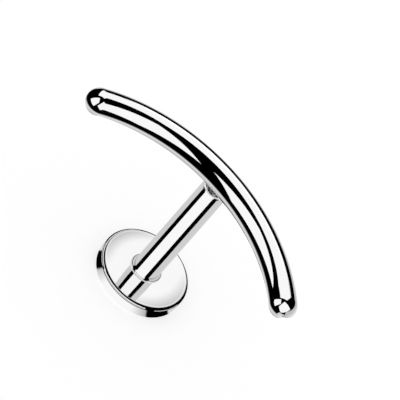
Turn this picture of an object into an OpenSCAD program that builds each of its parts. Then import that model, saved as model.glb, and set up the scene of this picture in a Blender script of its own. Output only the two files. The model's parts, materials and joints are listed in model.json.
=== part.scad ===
// Labret stud: a flat disc back with a straight post, and a curved bar that screws into the post.
// The stud stands on its disc. The origin is the centre of the disc's back, +Z runs up the post,
// the bar's two ends lie along X, and both ends bend towards -Y. Sizes are in millimetres.

/* [Disc back] */
// Diameter of the disc
disc_d = 4.05; // [3.2:0.05:5]
// Thickness of the disc
disc_t = 0.7; // [0.5:0.05:1.2]
// Radius of the disc's rounded edges
disc_edge_r = 0.14; // [0.06:0.01:0.2]

/* [Post] */
// Diameter of the post, 1.2 for 16 gauge and 1.6 for 14 gauge
post_d = 1.2; // [1.15:0.05:1.6]
// Length of the post, from the front of the disc to its open end
post_len = 6.3; // [4:0.05:12]
// Radius of the fillet at the foot of the post
foot_fillet_r = 0.14; // [0.05:0.01:0.3]
// Width of the chamfer round the post's open end
end_chamfer = 0.06; // [0.02:0.01:0.08]

/* [Curved bar] */
// Diameter of the bar
bar_d = 1.2; // [1.1:0.05:1.6]
// Radius of the bend, measured to the middle of the bar
bend_r = 8.1; // [6:0.1:12]
// Angle that the bar turns through on each side of the post
half_angle = 43.7; // [25:0.1:60]
// Depth of the flat seat cut into the underside of the bar
seat_depth = 0.07; // [0.05:0.01:0.2]
// Room between the rim of the post and the round wall of its seat
seat_side_gap = 0.03; // [0.01:0.01:0.1]
// Gap between the post's open end and the seat
seat_gap = 0.02; // [0.01:0.01:0.05]

/* [Threaded pin] */
// Diameter over the crests of the thread
pin_d = 0.88; // [0.7:0.01:0.95]
// Length of the pin below the seat
pin_len = 1.35; // [0.9:0.05:2]
// Distance from one thread to the next
thread_pitch = 0.225; // [0.15:0.005:0.25]
// Depth of the thread
thread_depth = 0.09; // [0.05:0.01:0.12]
// Length of the plain neck between the seat and the first thread
neck_len = 0.1; // [0.05:0.01:0.3]
// Length of the cone at the tip of the pin
tip_len = 0.12; // [0.05:0.01:0.2]

/* [Threaded hole] */
// Radial clearance between the pin and the hole
pin_clear = 0.03; // [0.01:0.01:0.06]
// Depth of the hole beyond the tip of the pin
hole_spare = 0.25; // [0.1:0.05:1]
// Width of the countersink at the mouth of the hole
mouth_chamfer = 0.03; // [0.01:0.01:0.04]

/* [Hidden] */
// Segments of a full turn
round_fn = 96;
// Slope of a thread's flank
flank_angle = 30;
// Share of the pitch that the crest of a thread is wide
crest_share = 1 / 8;
// Overlap that lets one solid be cut or joined cleanly
eps = 0.01;
// How far the ball ends stand out past the rod, so that the two surfaces cross cleanly
end_swell = 0.003;

disc_r = disc_d / 2;
post_r = post_d / 2;
post_top = disc_t + post_len;
bar_r = bar_d / 2;
end_r = bar_r + end_swell;
seat_z = post_top + seat_gap;
bar_z = seat_z - seat_depth + bar_r;
seat_r = post_r + seat_side_gap;
crest_r = pin_d / 2;
root_r = crest_r - thread_depth;
flank_len = thread_depth * tan(flank_angle);
crest_len = thread_pitch * crest_share;
thread_len = pin_len - neck_len - tip_len;
thread_count = floor((thread_len + eps) / thread_pitch);
hole_r = crest_r + pin_clear;
hole_depth = pin_len - seat_gap + hole_spare;

// Half section of the disc: a plate with round edges
module disc_section() {
    square([disc_r - disc_edge_r, disc_t]);
    translate([0, disc_edge_r]) square([disc_r, disc_t - 2 * disc_edge_r]);
    for (z = [disc_edge_r, disc_t - disc_edge_r])
        translate([disc_r - disc_edge_r, z]) circle(disc_edge_r, $fn = round_fn);
}

// Half section of the post, with the chamfer round its open end
module post_section() {
    polygon([
        [0, disc_t - eps],
        [post_r, disc_t - eps],
        [post_r, post_top - end_chamfer],
        [post_r - end_chamfer, post_top],
        [0, post_top]
    ]);
}

// Half section of the fillet between post and disc
module foot_section() {
    difference() {
        translate([post_r - eps, disc_t - eps]) square(foot_fillet_r + eps);
        translate([post_r + foot_fillet_r, disc_t + foot_fillet_r])
            circle(foot_fillet_r, $fn = round_fn);
    }
}

// Blind hole that takes the pin, with a countersunk mouth
module pin_hole() {
    translate([0, 0, post_top - hole_depth]) cylinder(h = hole_depth + eps, r = hole_r, $fn = round_fn);
    translate([0, 0, post_top - mouth_chamfer])
        cylinder(h = mouth_chamfer + eps, r1 = hole_r, r2 = hole_r + mouth_chamfer + eps, $fn = round_fn);
}

// Disc, post and threaded hole: one piece of polished steel
module labret_post() {
    color("gainsboro") difference() {
        rotate_extrude($fn = round_fn) {
            disc_section();
            post_section();
            foot_section();
        }
        pin_hole();
    }
}

// The bent rod, with a ball at each end that shows as half a ball
module bent_rod() {
    translate([0, -bend_r, bar_z]) {
        rotate([0, 0, 90 - half_angle])
            rotate_extrude(angle = 2 * half_angle, $fn = round_fn) translate([bend_r, 0]) circle(bar_r);
        for (side = [-1, 1])
            rotate([0, 0, 90 + side * half_angle]) translate([bend_r, 0, 0]) sphere(end_r, $fn = round_fn);
    }
}

// The flat round seat that the end of the post meets
module seat_cut() {
    translate([0, 0, seat_z - seat_depth - bar_r]) cylinder(h = seat_depth + bar_r, r = seat_r, $fn = round_fn);
}

// Outline of the thread from the first groove down, one ridge for each pitch
function thread_points(z) = [
    for (i = [0 : thread_count - 1], p = [
        [root_r, 0],
        [crest_r, -flank_len],
        [crest_r, -flank_len - crest_len],
        [root_r, -2 * flank_len - crest_len]
    ]) [p[0], z - i * thread_pitch + p[1]]
];

// The pin with its neck, threads and pointed tip, drawn as a turned section
module threaded_pin() {
    translate([0, 0, seat_z]) rotate_extrude($fn = round_fn) polygon(concat(
        [[0, bar_r - seat_depth], [root_r, bar_r - seat_depth]],
        thread_points(-neck_len),
        [[root_r, tip_len - pin_len], [root_r - tip_len, -pin_len], [0, -pin_len]]
    ));
}

// Bar, seat and pin: one piece of polished steel
module curved_bar_top() {
    color("gainsboro") union() {
        difference() {
            bent_rod();
            seat_cut();
        }
        threaded_pin();
    }
}

labret_post();
curved_bar_top();
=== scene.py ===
# %% [markdown]
# # A labret stud in polished steel
#
# A labret stud has two parts. The first is a flat disc with a straight post, turned from one bar of
# steel. The second is a curved bar with a threaded pin under it, which screws into the post.
# Both parts are polished like a mirror, so most of this lesson is about smooth curves and about
# what the mirror sees: a few plain light panels and a lot of dark between them.
#
# ## Load the frame
#
# The sizes come from the CAD model, so the first cell loads it and keeps its box. Everything that we
# build has to stay inside that box.

# %% Load the CAD model and keep its box
import json
import math

import bmesh
import bpy
from mathutils import Matrix, Vector


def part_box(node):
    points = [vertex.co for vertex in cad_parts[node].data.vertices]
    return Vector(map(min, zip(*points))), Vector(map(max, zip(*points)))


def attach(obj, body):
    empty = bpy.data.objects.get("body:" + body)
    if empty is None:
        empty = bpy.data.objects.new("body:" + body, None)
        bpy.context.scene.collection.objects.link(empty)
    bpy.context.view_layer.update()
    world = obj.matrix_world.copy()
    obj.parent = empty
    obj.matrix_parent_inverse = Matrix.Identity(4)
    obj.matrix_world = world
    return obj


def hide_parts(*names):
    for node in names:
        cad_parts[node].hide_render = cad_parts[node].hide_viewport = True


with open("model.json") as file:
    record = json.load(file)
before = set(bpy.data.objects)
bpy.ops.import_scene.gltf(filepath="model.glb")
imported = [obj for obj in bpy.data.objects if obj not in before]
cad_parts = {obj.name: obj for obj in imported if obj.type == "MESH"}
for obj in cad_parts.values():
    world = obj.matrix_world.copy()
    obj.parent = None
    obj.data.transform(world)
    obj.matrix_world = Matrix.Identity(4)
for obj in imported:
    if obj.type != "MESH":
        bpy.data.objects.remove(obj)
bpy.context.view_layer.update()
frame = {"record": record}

# %% [markdown]
# ## Read the sizes
#
# Blender works in metres, but a stud is easier to think of in millimetres. We model in millimetres
# and scale each mesh once, at the end. The box of each CAD node gives the outer sizes, and the
# record's mounts give the front of the disc and the radius of the post. The small sizes, such as the
# rounding of an edge, are written as they are on the real thing, in the step that needs them.

# %% Sizes in millimetres
MM = 1000.0
post_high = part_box("labret_post")[1] * MM
bar_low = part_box("curved_bar_top")[0] * MM
mounts = {mount["name"]: mount for mount in frame["record"]["mounts"]}

disc_r = round(post_high.x, 3)
disc_t = mounts["disc_front"]["pos_m"][2] * MM
post_r = mounts["piercing_post"]["dims"]["r_mm"]
post_top = round(post_high.z, 3)
pin_tip = round(bar_low.z, 3)
print("disc radius", disc_r, "thickness", disc_t, "post radius", post_r, "post top", post_top)

# %% [markdown]
# ## A lathe in a few lines
#
# Round parts like these come off a lathe. In Blender the lathe is the spin operator: we draw half of
# the section as a line, and turn it once round the Z axis. Both ends of the line lie on the axis, so
# the last step is to merge the points that meet there, and the solid is closed.

# %% The lathe
STEPS = 192
SAME_POINT = 1e-5


def lathe(section, steps=STEPS):
    bm = bmesh.new()
    points = [bm.verts.new((r, 0, z)) for r, z in section]
    lines = [bm.edges.new(pair) for pair in zip(points, points[1:])]
    bmesh.ops.spin(
        bm, geom=points + lines, cent=(0, 0, 0), axis=(0, 0, 1), dvec=(0, 0, 0),
        angle=2 * math.pi, steps=steps, use_merge=True, use_duplicate=False)
    bmesh.ops.remove_doubles(bm, verts=bm.verts, dist=SAME_POINT)
    bmesh.ops.recalc_face_normals(bm, faces=bm.faces)
    return bm


print("the lathe turns in", STEPS, "steps")

# %% [markdown]
# No corner on the stud is knife sharp. A corner of a turned part is a ring of edges at one radius and
# one height, so we can find it by those two numbers and round it with the bevel operator.

# %% Find a ring of edges and round it
CLOSE = 1e-4


def ring(bm, radius, height):
    def on_ring(vert):
        return abs(vert.co.z - height) < CLOSE and abs(vert.co.xy.length - radius) < CLOSE
    return [edge for edge in bm.edges if all(on_ring(vert) for vert in edge.verts)]


def round_ring(bm, radius, height, size, segments):
    edges = ring(bm, radius, height)
    bmesh.ops.bevel(
        bm, geom=edges, offset=size, offset_type="OFFSET", segments=segments, profile=0.5,
        affect="EDGES", material=-1, clamp_overlap=False)
    print("rounded", len(edges), "edges at radius", radius, "height", height)


# %% [markdown]
# A finished mesh is merged once more, scaled from millimetres to metres and shaded smooth, with sharp
# edges kept where two faces meet at more than 30 degrees. The count of open edges shows whether the
# solid is closed: it should be none.

# %% From a bmesh to a piece
SHARP = math.radians(30)


def smooth(mesh):
    mesh.shade_smooth()
    mesh.set_sharp_from_angle(angle=SHARP)


def finish_mesh(bm, name):
    bmesh.ops.remove_doubles(bm, verts=bm.verts, dist=SAME_POINT)
    bmesh.ops.recalc_face_normals(bm, faces=bm.faces)
    bmesh.ops.scale(bm, vec=Vector((1, 1, 1)) / MM, verts=bm.verts)
    mesh = bpy.data.meshes.new(name)
    bm.to_mesh(mesh)
    open_edges = sum(1 for edge in bm.edges if not edge.is_manifold)
    bm.free()
    smooth(mesh)
    piece = bpy.data.objects.new(name, mesh)
    bpy.context.scene.collection.objects.link(piece)
    print(name, len(mesh.polygons), "faces,", open_edges, "open edges")
    return piece


# %% [markdown]
# ## The disc
#
# The disc is turned from a plain section first, and its corners are rounded afterwards, ring by ring.
# A ring close to each corner, the guard, holds the flats flat, because a smooth shaded face bends its
# reflection all the way to the next ring. Towards its edge the front of the disc falls away by a
# hair, as polishing does, and this bends the light at its two ends.

# %% Turn the disc
disc_edge_r = 0.14
polish_fall = 0.013
polish_start = 1.1
polish_rings = 12
polish_step = 0.07
guard = 0.012
flat_edge = disc_r - disc_edge_r


def face_height(radius):
    share = max(0.0, (radius - polish_start) / (flat_edge - polish_start))
    return disc_t - polish_fall * share * share


corner = face_height(flat_edge)
section = [(0, 0), (flat_edge - guard, 0), (disc_r, 0), (disc_r, disc_edge_r + guard)]
section += [(disc_r, corner - disc_edge_r - guard), (disc_r, corner)]
for i in range(polish_rings):
    radius = flat_edge - guard - i * polish_step
    section.append((radius, face_height(radius)))
section.append((0, disc_t))
bm = lathe(section)
round_ring(bm, disc_r, 0, disc_edge_r, 10)
round_ring(bm, disc_r, corner, disc_edge_r, 12)
disc_piece = finish_mesh(bm, "disc_back")

# %% [markdown]
# ## The post
#
# The post stands on the disc, and both are one piece of steel on the real stud. Here the post is a
# piece of its own that reaches down into the disc. Its foot flares out in a small fillet, which ends
# a thousandth of a millimetre under the face of the disc, so that no edge of it shows. The bevel that
# makes the fillet is a touch smaller than the foot, or its last ring would fall on the outer corner.

# %% Turn the post
foot_r = 0.14
foot_sunk = 0.001
end_chamfer = 0.06
foot_z = disc_t - foot_sunk
root_z = disc_t / 2
section = [(0, root_z), (post_r + foot_r, root_z), (post_r + foot_r, foot_z), (post_r, foot_z)]
section += [(post_r, foot_z + foot_r + guard)]
section += [(post_r, post_top - end_chamfer - guard), (post_r, post_top), (0, post_top)]
bm = lathe(section)
round_ring(bm, post_r, foot_z, foot_r - CLOSE, 12)
round_ring(bm, post_r, post_top, end_chamfer, 2)
post_piece = finish_mesh(bm, "post")

# %% [markdown]
# ## The screw thread
#
# A thread is a section that turns and sinks at the same time, which the spin operator also does: its
# dvec moves the section a little down at each step. One pitch of the section is enough, because after
# a full turn it meets its own start. Two planes trim the tube to length, and caps close it.

# %% A threaded rod of any length
pitch = 0.225
flank_angle = math.radians(30)
crest_share = 1 / 8


def threaded_rod(inner, outer, top, bottom, per_turn=64):
    bm = bmesh.new()
    flank = (outer - inner) * math.tan(flank_angle)
    crest = pitch * crest_share
    section = [
        (inner, 0), (outer, -flank), (outer, -flank - crest),
        (inner, -2 * flank - crest), (inner, -pitch)]
    start = top + 2 * pitch
    turns = math.ceil((start - bottom) / pitch) + 2
    points = [bm.verts.new((r, 0, start + z)) for r, z in section]
    lines = [bm.edges.new(pair) for pair in zip(points, points[1:])]
    bmesh.ops.spin(
        bm, geom=points + lines, cent=(0, 0, 0), axis=(0, 0, 1), dvec=(0, 0, -pitch / per_turn),
        angle=2 * math.pi * turns, steps=per_turn * turns, use_merge=False, use_duplicate=False)
    bmesh.ops.remove_doubles(bm, verts=bm.verts, dist=CLOSE)
    for height, normal in ((top, (0, 0, 1)), (bottom, (0, 0, -1))):
        everything = bm.verts[:] + bm.edges[:] + bm.faces[:]
        bmesh.ops.bisect_plane(
            bm, geom=everything, dist=1e-6, plane_co=(0, 0, height), plane_no=normal, clear_outer=True)
        rim = [edge for edge in bm.edges if edge.is_boundary
               and all(abs(vert.co.z - height) < CLOSE for vert in edge.verts)]
        bmesh.ops.edgeloop_fill(bm, edges=rim)
    bmesh.ops.recalc_face_normals(bm, faces=bm.faces)
    return bm


print("thread pitch", pitch)

# %% [markdown]
# Threads, holes and flats are cut with Booleans. The result is kept as a plain mesh, and the tool is
# thrown away, as a cutter goes back in its box.

# %% Cut one piece with another
def cut(piece, tool, operation):
    step = piece.modifiers.new(operation.lower(), "BOOLEAN")
    step.operation = operation
    step.object = tool
    step.solver = "EXACT"
    graph = bpy.context.evaluated_depsgraph_get()
    result = bpy.data.meshes.new_from_object(piece.evaluated_get(graph), depsgraph=graph)
    piece.modifiers.clear()
    spent = piece.data
    piece.data = result
    result.name = spent.name
    bpy.data.meshes.remove(spent)
    bpy.data.objects.remove(tool)
    print(piece.name, operation.lower(), "->", len(result.polygons), "faces")


# %% [markdown]
# ## The threaded hole
#
# The post is hollow at its top, where it takes the pin. First a plain drill with a countersunk mouth,
# then a tap: a threaded rod a little wider than the drill. Both are cut away from the post. The tap
# stops a little above the bottom of the hole, as a real one does.

# %% Drill and tap the post
TOOL_STEPS = 96
hole_r = 0.47
hole_bottom = post_top - 1.58
mouth = 0.03
tap_depth = 0.05
tap_overlap = 0.01
tap_stop = 0.15
spare = 0.1
above = post_top + spare
drill_section = [
    (0, hole_bottom), (hole_r, hole_bottom), (hole_r, post_top - mouth),
    (hole_r + mouth + spare, above), (0, above)]
cut(post_piece, finish_mesh(lathe(drill_section, TOOL_STEPS), "drill"), "DIFFERENCE")
tap = threaded_rod(hole_r - tap_overlap, hole_r + tap_depth, above, hole_bottom + tap_stop)
cut(post_piece, finish_mesh(tap, "tap"), "DIFFERENCE")
smooth(post_piece.data)

# %% [markdown]
# ## The curved bar
#
# The bar is a round rod bent on a circle, so it is also a spin: this time a circle turns about an
# upright axis in front of the stud. Each end gets half a sphere with the same number of sides as the
# rod, so that the two rings of points fall together and merge.

# %% Bend the bar
SIDES = 96
bar_r = 0.6
bend_r = 8.1
half_angle = math.radians(43.7)
seat_gap = 0.02
seat_depth = 0.07
seat_z = post_top + seat_gap
bar_z = seat_z - seat_depth + bar_r

bend_centre = Vector((0, -bend_r, bar_z))
bm = bmesh.new()
made = bmesh.ops.create_circle(bm, cap_ends=False, radius=bar_r, segments=SIDES)
stand_up = Matrix.Rotation(math.radians(90), 4, "X")
to_rod = Matrix.Translation((bend_r, 0, 0)) @ stand_up
to_start = Matrix.Translation(bend_centre) @ Matrix.Rotation(math.pi / 2 - half_angle, 4, "Z")
bmesh.ops.transform(bm, matrix=to_start @ to_rod, verts=made["verts"])
bmesh.ops.spin(
    bm, geom=bm.verts[:] + bm.edges[:], cent=bend_centre, axis=(0, 0, 1), dvec=(0, 0, 0),
    angle=2 * half_angle, steps=STEPS, use_merge=False, use_duplicate=False)
for side in (-1, 1):
    ball = bmesh.ops.create_uvsphere(bm, u_segments=SIDES, v_segments=SIDES // 2, radius=bar_r)["verts"]
    to_end = Matrix.Translation(bend_centre) @ Matrix.Rotation(math.pi / 2 + side * half_angle, 4, "Z")
    bmesh.ops.transform(bm, matrix=to_end @ to_rod, verts=ball)
    end_point = to_end @ Vector((bend_r, 0, 0))
    outward = (to_end.to_3x3() @ Vector((0, 1, 0))) * side
    inner = [vert for vert in ball if (vert.co - end_point).dot(outward) < -CLOSE]
    bmesh.ops.delete(bm, geom=inner, context="VERTS")
bmesh.ops.remove_doubles(bm, verts=bm.verts, dist=CLOSE)
bar_piece = finish_mesh(bm, "curved_bar")
print("bar axis at", round(bar_z, 3))

# %% [markdown]
# ## The seat
#
# Under the bar a small flat is milled, which the rim of the post meets. The mill is a plain cylinder
# that is a little wider than the post.

# %% Mill the seat
seat_r = post_r + 0.03
mill = [(0, 0), (seat_r, 0), (seat_r, seat_z), (0, seat_z)]
cut(bar_piece, finish_mesh(lathe(mill, TOOL_STEPS), "mill"), "DIFFERENCE")

# %% [markdown]
# ## The pin
#
# The pin stands in the middle of the seat. Its thread is the threaded rod trimmed by a turned sleeve,
# so the thread fades at the neck and at the tip. A plain core fills the thread and joins it to the bar.

# %% Add the threaded pin
crest_r = 0.44
root_r = 0.35
neck = 0.1
tip = 0.12
hair = 0.001
pin_top = bar_z
sleeve_r = root_r - 0.02
first_crest = seat_z - neck - 0.09
last_crest = pin_tip + tip
sleeve_tip_r = crest_r - tip - 0.06
sleeve = [
    (0, pin_top), (sleeve_r, pin_top), (sleeve_r, seat_z - neck), (crest_r, first_crest),
    (crest_r, last_crest), (sleeve_tip_r, pin_tip), (0, pin_tip)]
thread = threaded_rod(root_r - 5 * hair, crest_r - hair, pin_top + spare, pin_tip - spare)
pin_piece = finish_mesh(thread, "thread")
cut(pin_piece, finish_mesh(lathe(sleeve, TOOL_STEPS), "sleeve"), "INTERSECT")
core_top, core_tip = pin_top - 10 * hair, pin_tip + hair
core = [(0, core_top), (root_r, core_top), (root_r, last_crest), (root_r - tip, core_tip), (0, core_tip)]
cut(pin_piece, finish_mesh(lathe(core, TOOL_STEPS), "core"), "UNION")
cut(bar_piece, pin_piece, "UNION")
smooth(bar_piece.data)
bar_box = bar_piece.bound_box
print("bar box:", *([round(c * MM, 3) for c in bar_box[corner_index]] for corner_index in (0, 6)))

# %% [markdown]
# ## Polished steel
#
# Real polished steel isn't perfectly even. The finish below is a metal whose colour and roughness
# drift a little from place to place, with very fine polishing lines as bump. All of it is driven by
# Object coordinates, so it stays with the piece when the piece moves. A Mix node has several sockets
# of one name, so they are found by number: input 0 is the factor, 6 and 7 are the two colours, and
# output 2 is the mixed colour.

# %% The polished finish and the duller cut finish
PATCH_SCALE = 900
BUMP_STRENGTH = 0.2


def steel(name, colour_low, colour_high, rough_low, rough_high, line_scale, line_depth):
    material = bpy.data.materials.new(name)
    material.use_nodes = True
    nodes, links = material.node_tree.nodes, material.node_tree.links
    shader = nodes["Principled BSDF"]
    shader.inputs["Metallic"].default_value = 1.0
    where = nodes.new("ShaderNodeTexCoord")
    patches = nodes.new("ShaderNodeTexNoise")
    patches.inputs["Scale"].default_value = PATCH_SCALE
    patches.inputs["Detail"].default_value = 2
    links.new(where.outputs["Object"], patches.inputs["Vector"])
    tint = nodes.new("ShaderNodeMix")
    tint.data_type = "RGBA"
    tint.inputs[6].default_value = colour_low
    tint.inputs[7].default_value = colour_high
    links.new(patches.outputs["Fac"], tint.inputs[0])
    links.new(tint.outputs[2], shader.inputs["Base Color"])
    rough = nodes.new("ShaderNodeMapRange")
    rough.inputs["To Min"].default_value = rough_low
    rough.inputs["To Max"].default_value = rough_high
    links.new(patches.outputs["Fac"], rough.inputs["Value"])
    links.new(rough.outputs["Result"], shader.inputs["Roughness"])
    lines = nodes.new("ShaderNodeTexNoise")
    lines.inputs["Scale"].default_value = line_scale
    lines.inputs["Detail"].default_value = 3
    links.new(where.outputs["Object"], lines.inputs["Vector"])
    bump = nodes.new("ShaderNodeBump")
    bump.inputs["Strength"].default_value = BUMP_STRENGTH
    bump.inputs["Distance"].default_value = line_depth
    links.new(lines.outputs["Fac"], bump.inputs["Height"])
    links.new(bump.outputs["Normal"], shader.inputs["Normal"])
    return material


polished = steel("polished_steel", (0.86, 0.86, 0.865, 1), (0.90, 0.90, 0.90, 1), 0.02, 0.045, 6000, 1e-7)
machined = steel("machined_steel", (0.66, 0.655, 0.645, 1), (0.74, 0.735, 0.73, 1), 0.14, 0.24, 9000, 2e-6)
print("finishes:", polished.name, machined.name)

# %% [markdown]
# The thread and the hole keep the marks of cutting, so their faces get the duller finish. They are
# found by place: everything that lies closer to the axis than the rim, and between two heights. The
# limits stand a hair off the faces, so that rounding can't put a face on the wrong side.

# %% Give each face its finish
def paint_cut_faces(piece, radius, low, high):
    piece.data.materials.clear()
    piece.data.materials.append(polished)
    piece.data.materials.append(machined)
    for face in piece.data.polygons:
        middle = face.center * MM
        inside = middle.xy.length < radius and low < middle.z < high
        face.material_index = 1 if inside else 0
    print(piece.name, sum(face.material_index for face in piece.data.polygons), "machined faces")


mouth_r = post_r - end_chamfer
paint_cut_faces(post_piece, mouth_r + 2 * hair, hole_bottom - 10 * hair, post_top - hair / 2)
paint_cut_faces(bar_piece, crest_r + 2 * hair, pin_tip - 10 * hair, seat_z - hair / 2)
disc_piece.data.materials.append(polished)

# %% [markdown]
# Each piece rides the body that it belongs to, so that it moves with the joint, and takes the place of
# its CAD solid. Disc and post share one body and one solid.

# %% Put each piece on its body
for piece, body, node in (
        (disc_piece, "post", "labret_post"), (post_piece, "post", "labret_post"),
        (bar_piece, "top", "curved_bar_top")):
    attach(piece, body)
    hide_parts(node)
    print(piece.name, "rides", body, "and replaces", node)

# %% [markdown]
# ## The camera
#
# The photograph looks down on the disc at 45 degrees, a little from the right, and is rolled so that
# the post leans to the upper right. The lens is long, because a photograph of something this small is
# taken from a distance and shows hardly any perspective.

# %% Place the camera
view_azimuth = math.radians(9.5)
view_elevation = math.radians(45.0)
view_roll = math.radians(41.19)
lens_mm = 600.0
sensor_mm = 36.0
frame_mm = 16.427
aim_height = 5.827
aim_left = 0.188
right = Vector((math.cos(view_azimuth), math.sin(view_azimuth), 0))
look = Vector((
    -math.sin(view_azimuth) * math.cos(view_elevation),
    math.cos(view_azimuth) * math.cos(view_elevation),
    -math.sin(view_elevation)))
up = right.cross(look)
aim = Vector((0, 0, aim_height)) - aim_left * right
distance = frame_mm * lens_mm / sensor_mm
rolled_right = math.cos(view_roll) * right + math.sin(view_roll) * up
rolled_up = -math.sin(view_roll) * right + math.cos(view_roll) * up

camera_data = bpy.data.cameras.new("camera")
camera_data.lens = lens_mm
camera_data.sensor_width = sensor_mm
camera_data.clip_start = 0.01
camera_data.clip_end = 5.0
camera = bpy.data.objects.new("camera", camera_data)
pose = Matrix((rolled_right, rolled_up, -look)).transposed().to_4x4()
pose.translation = (aim - distance * look) / MM
camera.matrix_world = pose
bpy.context.scene.collection.objects.link(camera)
bpy.context.scene.camera = camera
bpy.context.scene.view_settings.view_transform = "Standard"
print("camera at", [round(c, 4) for c in camera.location])

# %% [markdown]
# ## The floor
#
# The stud stands on a pale floor in a bright room. The floor glows, and a pool of light round the stud is
# painted into that glow: the floor is nearly white round the stud and gets a little greyer further out.
# The floor is hidden from reflections, and panels of light take its place.

# %% Floor with a painted pool of light
POOL_CENTRE = (-0.001, 0.0057, 0)
WHITE_WITHIN = 0.017
GREY_BEYOND = 0.060
POOL_BRIGHT = 0.63
POOL_DIM = 0.33
FLOOR_HALF = 2000
paper = bpy.data.materials.new("paper")
paper.use_nodes = True
nodes, links = paper.node_tree.nodes, paper.node_tree.links
shader = nodes["Principled BSDF"]
shader.inputs["Base Color"].default_value = (0.5, 0.5, 0.5, 1)
shader.inputs["Roughness"].default_value = 0.9
shader.inputs["Specular IOR Level"].default_value = 0.0
shader.inputs["Emission Color"].default_value = (1, 1, 1, 1)
place = nodes.new("ShaderNodeTexCoord")
from_pool = nodes.new("ShaderNodeVectorMath")
from_pool.operation = "DISTANCE"
from_pool.inputs[1].default_value = POOL_CENTRE
# Painted pool of light: the floor's emission strength is POOL_BRIGHT within WHITE_WITHIN of the pool's
# centre and falls to POOL_DIM beyond GREY_BEYOND.
painted_pool = nodes.new("ShaderNodeMapRange")
painted_pool.interpolation_type = "SMOOTHSTEP"
painted_pool.inputs["From Min"].default_value = WHITE_WITHIN
painted_pool.inputs["From Max"].default_value = GREY_BEYOND
painted_pool.inputs["To Min"].default_value = POOL_BRIGHT
painted_pool.inputs["To Max"].default_value = POOL_DIM
links.new(place.outputs["Object"], from_pool.inputs[0])
links.new(from_pool.outputs["Value"], painted_pool.inputs["Value"])
links.new(painted_pool.outputs["Result"], shader.inputs["Emission Strength"])

bm = bmesh.new()
bmesh.ops.create_grid(bm, x_segments=2, y_segments=2, size=FLOOR_HALF)
floor = finish_mesh(bm, "floor")
floor.data.materials.append(paper)
floor.visible_glossy = False
floor.visible_shadow = False

# %% [markdown]
# ## The room
#
# The room is bright, but the mirror must not see it, or the steel would be plain white. So the world
# asks each ray whether it is a reflection, and is black for those.

# %% World
ROOM_STRENGTH = 0.75
world = bpy.data.worlds.new("room")
bpy.context.scene.world = world
world.use_nodes = True
nodes, links = world.node_tree.nodes, world.node_tree.links
background = nodes["Background"]
background.inputs["Strength"].default_value = ROOM_STRENGTH
ray = nodes.new("ShaderNodeLightPath")
tone = nodes.new("ShaderNodeMix")
tone.data_type = "RGBA"
tone.inputs[6].default_value = (1, 1, 1, 1)
tone.inputs[7].default_value = (0, 0, 0, 1)
links.new(ray.outputs["Is Glossy Ray"], tone.inputs[0])
links.new(tone.outputs[2], background.inputs["Color"])
print("room strength", ROOM_STRENGTH)

# %% [markdown]
# ## Panels of light
#
# A mirror has no look of its own, only the look of the room. In the photograph each piece sees its
# own panels, which a studio does with small cards held close. Light linking does the same here: each
# panel shines on one piece only, and the camera doesn't see it. A panel is placed by its bearing from
# the front of the stud, its height above the horizon and its distance, in degrees and millimetres.
# It faces the stud unless it is turned.

# %% A panel that shines on one piece
def group(name, *pieces):
    collection = bpy.data.collections.new(name)
    for piece in pieces:
        collection.objects.link(piece)
    return collection


def direction(bearing, height):
    a, e = math.radians(bearing), math.radians(height)
    return Vector((math.sin(a) * math.cos(e), -math.cos(a) * math.cos(e), math.sin(e)))


def panel(name, receivers, centre, place, half_size, level, turn=(0, 0, 0), shape="RECTANGLE"):
    bearing, height, distance_mm = place
    light = bpy.data.lights.new(name, "AREA")
    light.shape = shape
    light.normalize = False
    light.size = 2 * half_size[0] / MM
    light.size_y = 2 * half_size[1] / MM
    light.energy = math.pi * level
    away = direction(bearing + turn[0], height + turn[1])
    swing = math.radians(bearing + turn[0])
    level_side = Vector((math.cos(swing), math.sin(swing), 0))
    side = Matrix.Rotation(math.radians(turn[2]), 3, away) @ level_side
    lamp = bpy.data.objects.new(name, light)
    stand = Matrix((side, away.cross(side), away)).transposed().to_4x4()
    stand.translation = (centre + direction(bearing, height) * distance_mm) / MM
    lamp.matrix_world = stand
    bpy.context.scene.collection.objects.link(lamp)
    lamp.visible_camera = False
    lamp.light_linking.receiver_collection = receivers
    return lamp


# %% [markdown]
# The pieces in the photograph don't mirror each other, apart from the post in the disc. So the disc
# and the bar are hidden from reflections, and the post isn't. Each piece gets a group of its own for
# its panels. The white of a panel is a little over 1, because steel gives back nine tenths of it.

# %% What each piece mirrors
disc_piece.visible_glossy = False
bar_piece.visible_glossy = False
lit_disc = group("lit_disc", disc_piece)
lit_post = group("lit_post", post_piece)
lit_bar = group("lit_bar", bar_piece)
WHITE = 1.06
GREY = 0.69
print("panels shine at", WHITE, "and", GREY)

# %% [markdown]
# ## Cards for the bar
#
# The white bands on the bar swing from one side to the other along its length, and its two ends show
# the same cards from two sides. Only cards that are close can do that, so most of these stand two to
# four centimetres away, one in front, one to the right and one behind. The edge of each card is an
# edge of a band, and the black between the bands is the dark room. A low card, a faint one far behind
# it and a small one under the right end lighten the rim of the bar.

# %% Light the bar
BAR_MIDDLE = Vector((0, 0, 7.5))
BAR_CARDS = (
    # name, (bearing, height, distance), (half width, half height), level, (turns)
    ("bar_front_left", (-27.5, 25.9, 22.9), (9.35, 13.0), WHITE, (-27.5, -16.9, -9.8)),
    ("bar_right", (35.8, 19.8, 20.7), (10.8, 12.4), WHITE, (22.3, 20.7, -51.9)),
    ("bar_back", (-148.9, 57.6, 39.4), (21.4, 21.3), WHITE, (42.1, -13.8, -65.1)),
    ("bar_far", (188.4, 33.4, 120.0), (15.4, 20.1), WHITE, (44.6, 25.2, -13.7)),
    ("bar_low", (160.6, -71.9, 21.4), (38.5, 20.5), 0.58, (-12.2, 80.1, -6.2)),
    ("bar_floor_right", (140, -20, 600), (300, 340), 0.2, (0, -70, 0)),
    ("bar_under_end", (54.2, -15.7, 11.4), (2.15, 1.6), 0.72, (5.8, -16.3, 0)),
)
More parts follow.
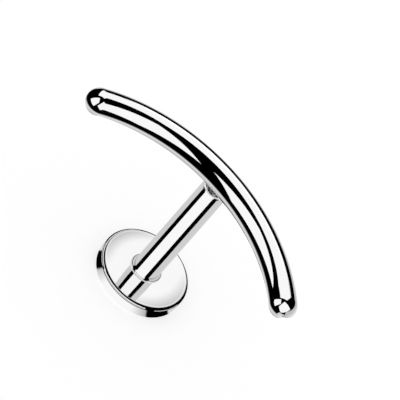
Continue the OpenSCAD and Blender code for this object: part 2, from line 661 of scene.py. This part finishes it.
for name, place, half_size, level, turn in BAR_CARDS:
    panel(name, lit_bar, BAR_MIDDLE, place, half_size, level, turn)
print(len(BAR_CARDS), "cards for the bar")

# %% [markdown]
# ## Panels that fade
#
# A light has nodes too: its strength can depend on the place on the panel, which the Parametric output
# gives from 0 to 1. A ramp turns that place into a tone, measured from the middle of a round panel or
# from one side of a square one.

# %% Fade a panel
def set_ramp(ramp, stops):
    while len(ramp.elements) < len(stops):
        ramp.elements.new(0.5)
    for element, (position, tone_level) in zip(ramp.elements, stops):
        element.position = position
        element.color = (tone_level, tone_level, tone_level, 1)


def fade_panel(lamp, stops, round_panel):
    lamp.data.use_nodes = True
    nodes, links = lamp.data.node_tree.nodes, lamp.data.node_tree.links
    spot = nodes.new("ShaderNodeNewGeometry")
    ramp = nodes.new("ShaderNodeValToRGB")
    shift = nodes.new("ShaderNodeVectorMath")
    shift.operation = "SUBTRACT"
    shift.inputs[1].default_value = (0.5, 0.5, 0) if round_panel else (0, 0, 0)
    links.new(spot.outputs["Parametric"], shift.inputs[0])
    if round_panel:
        measure = nodes.new("ShaderNodeVectorMath")
        measure.operation = "LENGTH"
        links.new(shift.outputs["Vector"], measure.inputs[0])
        links.new(measure.outputs["Value"], ramp.inputs["Fac"])
    else:
        measure = nodes.new("ShaderNodeSeparateXYZ")
        links.new(shift.outputs["Vector"], measure.inputs["Vector"])
        links.new(measure.outputs["X"], ramp.inputs["Fac"])
    links.new(ramp.outputs["Color"], nodes["Emission"].inputs["Color"])
    set_ramp(ramp.color_ramp, stops)


# %% [markdown]
# The floor that the bar sees is such a round panel. It is grey right under the bar, where the stud
# stands in its own light, gets paler outwards and fades to nothing at its rim.

# %% Light the bar from the floor
FAR = 200.0
floor_half = 222
floor_tones = [(0.0, 0.54), (0.12, 0.61), (0.21, 0.74), (0.315, 0.83), (0.40, 0.5), (0.5, 0.0)]
bar_floor = panel(
    "bar_floor", lit_bar, BAR_MIDDLE, (0, -90, FAR), (floor_half, floor_half), 1.0, shape="ELLIPSE")
fade_panel(bar_floor, floor_tones, True)
print("the bar's floor fades over", len(floor_tones), "tones")

# %% [markdown]
# ## Panels for the post
#
# An upright mirror turns a beam left or right but never up or down. The camera looks down at 45
# degrees, so the post shows what lies 45 degrees below the horizon, and its image in the disc shows
# what lies 45 degrees above. Both need the same tall panels: white in front, black beside it, and grey
# from there round to the back. They come in two tiers, because the image in the disc loses a little at
# each mirror. The dark gap between the tiers draws a thin line round the fillet at the foot.

# %% Light the post
BASE = Vector((0, 0, 0))
view_bearing = math.degrees(view_azimuth)


def upright(name, receivers, bearing, half_angle_deg, low, high, level):
    bottom, top = (math.tan(math.radians(h)) * FAR for h in (low, high))
    wide = math.tan(math.radians(half_angle_deg)) * FAR
    middle = Vector((0, 0, (bottom + top) / 2))
    panel(name, receivers, middle, (view_bearing + bearing, 0, FAR), (wide, (top - bottom) / 2), level)


POST_TIERS = ((-62, 22, 1.0), (36, 62, 1.1))  # lowest, highest, gain
POST_SIDES = ((98, 27), (151.5, 26.5), (-107, 24), (-154.5, 23.5))  # bearing, half angle
for low, high, gain in POST_TIERS:
    upright("post_front", lit_post, -5.5, 41.5, low, high, WHITE * gain)
    for bearing, half_angle_deg in POST_SIDES:
        upright("post_side", lit_post, bearing, half_angle_deg, low, high, GREY * gain)
panel("post_top", lit_post, BASE, (0, 90, FAR), (100, 100), GREY)
print(len(POST_TIERS), "tiers of", len(POST_SIDES) + 1, "panels for the post")

# %% [markdown]
# ## Panels for the disc
#
# The disc gets panels of its own. In front stands the one that draws the bright line on its rounded
# edge, with the dark ceiling above it and the dark horizon below. A low row in front and at both sides
# lies under the horizon.

# %% Light the edge of the disc
# name, piece, bearing, half angle, lowest and highest point, level
upright("disc_front", lit_disc, -6, 61, 14, 46, WHITE)
upright("disc_low", lit_disc, -6, 61, -22, -2, WHITE)
for bearing in (100, -100):
    upright("disc_side", lit_disc, bearing, 25, -22, -2, GREY)

# %% [markdown]
# The front of the disc is nearly flat, so it shows one small spot of the room. That spot fades to
# grey at both sides, and the polished edge of the disc shows the fade.

# %% Light the face of the disc
from_disc = camera.location * MM - Vector((0, 0, disc_t))
mirror_bearing = math.degrees(math.atan2(-from_disc.x, from_disc.y))
mirror_height = math.degrees(math.asin(from_disc.z / from_disc.length))
face_tones = [(0.0, 0.55), (0.34, 0.62), (0.44, 1.06), (0.56, 1.06), (0.66, 0.55), (1.0, 0.48)]
face_lamp = panel("face", lit_disc, BASE, (mirror_bearing, mirror_height, FAR), (40, 70), 1.0, (0, 0, -16))
fade_panel(face_lamp, face_tones, False)
print("the face looks to bearing", round(mirror_bearing, 1), "height", round(mirror_height, 1))

# %% [markdown]
# The left edge of the disc shows a thin bright line between two black ones. A strip that stands a
# little above the horizon, at the left and behind, draws it.

# %% Light the left edge of the disc
for bearing in (-92, -143):
    upright("disc_edge", lit_disc, bearing, 26, 20, 36, WHITE)

# %% [markdown]
# ## The light under the rim
#
# The rim of the disc stands so low that it shows only the few tenths of a millimetre of floor next to
# it. A round panel lies there and faces up. It is white in front, black at two places and pale beyond.
# The gradient texture turns a place on the panel into an angle, which runs against the clock as the
# panel is seen from its back, so the tones are set from right to left.

# %% Light the rim
rim_half = disc_r + disc_t - disc_edge_r
rim_lamp = panel("rim", lit_disc, BASE, (0, -90, 0), (rim_half, rim_half), 1.0, shape="ELLIPSE")
rim_lamp.data.use_nodes = True
nodes, links = rim_lamp.data.node_tree.nodes, rim_lamp.data.node_tree.links
spot = nodes.new("ShaderNodeNewGeometry")
turned = nodes.new("ShaderNodeMapping")
turned.vector_type = "TEXTURE"
turned.inputs["Location"].default_value = (0.5, 0.5, 0)
turned.inputs["Rotation"].default_value[2] = math.pi / 2 - view_azimuth
around = nodes.new("ShaderNodeTexGradient")
around.gradient_type = "RADIAL"
tones = nodes.new("ShaderNodeValToRGB")
links.new(spot.outputs["Parametric"], turned.inputs["Vector"])
links.new(turned.outputs["Vector"], around.inputs["Vector"])
links.new(around.outputs["Fac"], tones.inputs["Fac"])
links.new(tones.outputs["Color"], nodes["Emission"].inputs["Color"])
pale = 0.75
rim_tones = [
    (180, 0.4), (78, pale), (76, 0), (43, 0), (41, 0.5), (20, 1), (-30, 1), (-50, 0.6),
    (-53, 0), (-80, 0), (-82, pale), (-180, 0.4)]
set_ramp(tones.color_ramp, [(0.5 - degrees / 360, level * WHITE) for degrees, level in rim_tones])
print(len(rim_tones), "tones round the rim")
